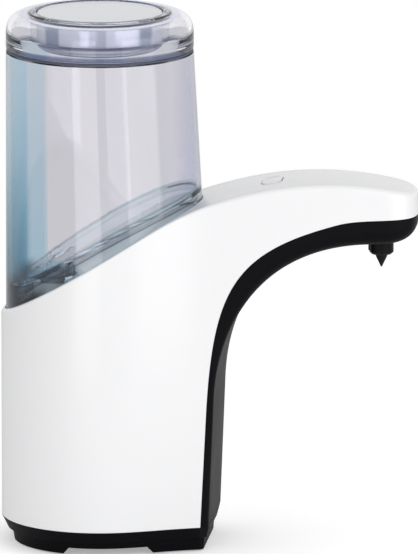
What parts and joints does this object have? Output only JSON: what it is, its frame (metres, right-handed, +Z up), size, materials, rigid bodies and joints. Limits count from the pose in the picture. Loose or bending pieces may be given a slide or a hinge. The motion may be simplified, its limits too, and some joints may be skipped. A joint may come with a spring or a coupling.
{
  "type": "automatic soap dispenser",
  "caption": "Counter-top automatic soap dispenser: white housing with a curved arm, black front strip and base, clear leaning tank with a lid, hand sensor and a small gear pump.",
  "frame": {"origin": "centre of the footprint of the whole object, on the surface that it stands on", "axes": "+X from the tank towards the arm's tip, +Z up, +Y to the left side seen from the back"},
  "size_m": [0.179, 0.085, 0.23],
  "materials": {
    "white_plastic": "gloss moulded",
    "black_plastic": "satin moulded",
    "dark_plastic": "moulded",
    "clear_plastic": "clear moulded",
    "satin_plastic": "satin",
    "rubber": "matte",
    "silicone": "matte",
    "inner_plastic": "moulded",
    "steel": "plated",
    "motor_can": "plated",
    "cell_jacket": "printed jacket, no print",
    "board": "lacquered board",
    "dark_window": "dark infrared window"
  },
  "bodies": {
    "housing": {"housing_shell": "white_plastic", "front_cover": "black_plastic", "base_tray": "black_plastic", "rubber_foot_1": "rubber", "rubber_foot_2": "rubber", "rubber_foot_3": "rubber", "rubber_foot_4": "rubber", "base_screw_1": "steel", "base_screw_2": "steel", "base_screw_3": "steel", "base_screw_4": "steel", "battery_box": "inner_plastic", "battery_cell_1": "cell_jacket", "battery_cell_2": "cell_jacket", "battery_cell_3": "cell_jacket", "battery_cell_4": "cell_jacket", "roof_contact_bridge": "steel", "roof_contact_plus": "steel", "roof_contact_minus": "steel", "main_board": "board", "control_chip": "dark_plastic", "capacitor": "motor_can", "chassis": "inner_plastic", "motor": "motor_can", "pump_body": "inner_plastic", "pump_cover": "inner_plastic", "pump_screw_1": "steel", "pump_screw_2": "steel", "inlet_hose": "silicone", "outlet_hose": "silicone", "outlet_gasket": "rubber", "button_spring": "steel", "button_board": "board", "button_switch": "dark_plastic", "nozzle_collar": "black_plastic", "nozzle_valve": "silicone", "sensor_window": "dark_window", "sensor_board": "board", "sensor_emitter": "dark_plastic", "sensor_receiver": "dark_plastic"},
    "tank": {"soap_tank": "clear_plastic", "outlet_spigot": "inner_plastic", "outlet_nut": "inner_plastic", "outlet_cap": "inner_plastic", "outlet_spring": "steel"},
    "lid": {"tank_lid": "clear_plastic", "lid_seal": "rubber", "lid_insert": "satin_plastic"},
    "plunger": {"outlet_plunger": "inner_plastic"},
    "button": {"power_button": "white_plastic"},
    "rotor": {"motor_shaft": "steel", "drive_gear": "inner_plastic"},
    "idler": {"idler_gear": "inner_plastic"},
    "door": {"battery_door": "black_plastic", "door_contact_1": "steel", "door_contact_2": "steel"}
  },
  "joints": [
    {"name": "tank_lift", "type": "slide", "parent": "housing", "child": "tank", "axis": [0, 0, 1], "range_m": [0, 0.12]},
    {"name": "lid_lift", "type": "slide", "parent": "tank", "child": "lid", "axis": [0, 0, 1], "range_m": [0, 0.03]},
    {"name": "plunger_press", "type": "slide", "parent": "tank", "child": "plunger", "axis": [0, 0, 1], "range_m": [0, 0.002], "stiffness_N_per_m": 100, "springref_m": -0.003, "deforming": ["outlet_spring"]},
    {"name": "button_press", "type": "slide", "parent": "housing", "child": "button", "axis": [0, 0, -1], "range_m": [0, 0.001], "stiffness_N_per_m": 300, "springref_m": -0.003, "deforming": ["button_spring"]},
    {"name": "motor_spin", "type": "hinge", "parent": "housing", "child": "rotor", "pos_m": [-0.021, 0, 0.0602], "axis": [0, 0, 1], "continuous": true},
    {"name": "idler_spin", "type": "hinge", "parent": "housing", "child": "idler", "pos_m": [-0.009, 0, 0.0602], "axis": [0, 0, 1], "continuous": true},
    {"name": "door_swing", "type": "hinge", "parent": "housing", "child": "door", "pos_m": [-0.06675, 0, 0.0065], "axis": [0, 1, 0], "range_deg": [0, 100]}
  ],
  "couplings": [
    {"joint": "idler_spin", "follows": "motor_spin", "ratio": -1}
  ]
}
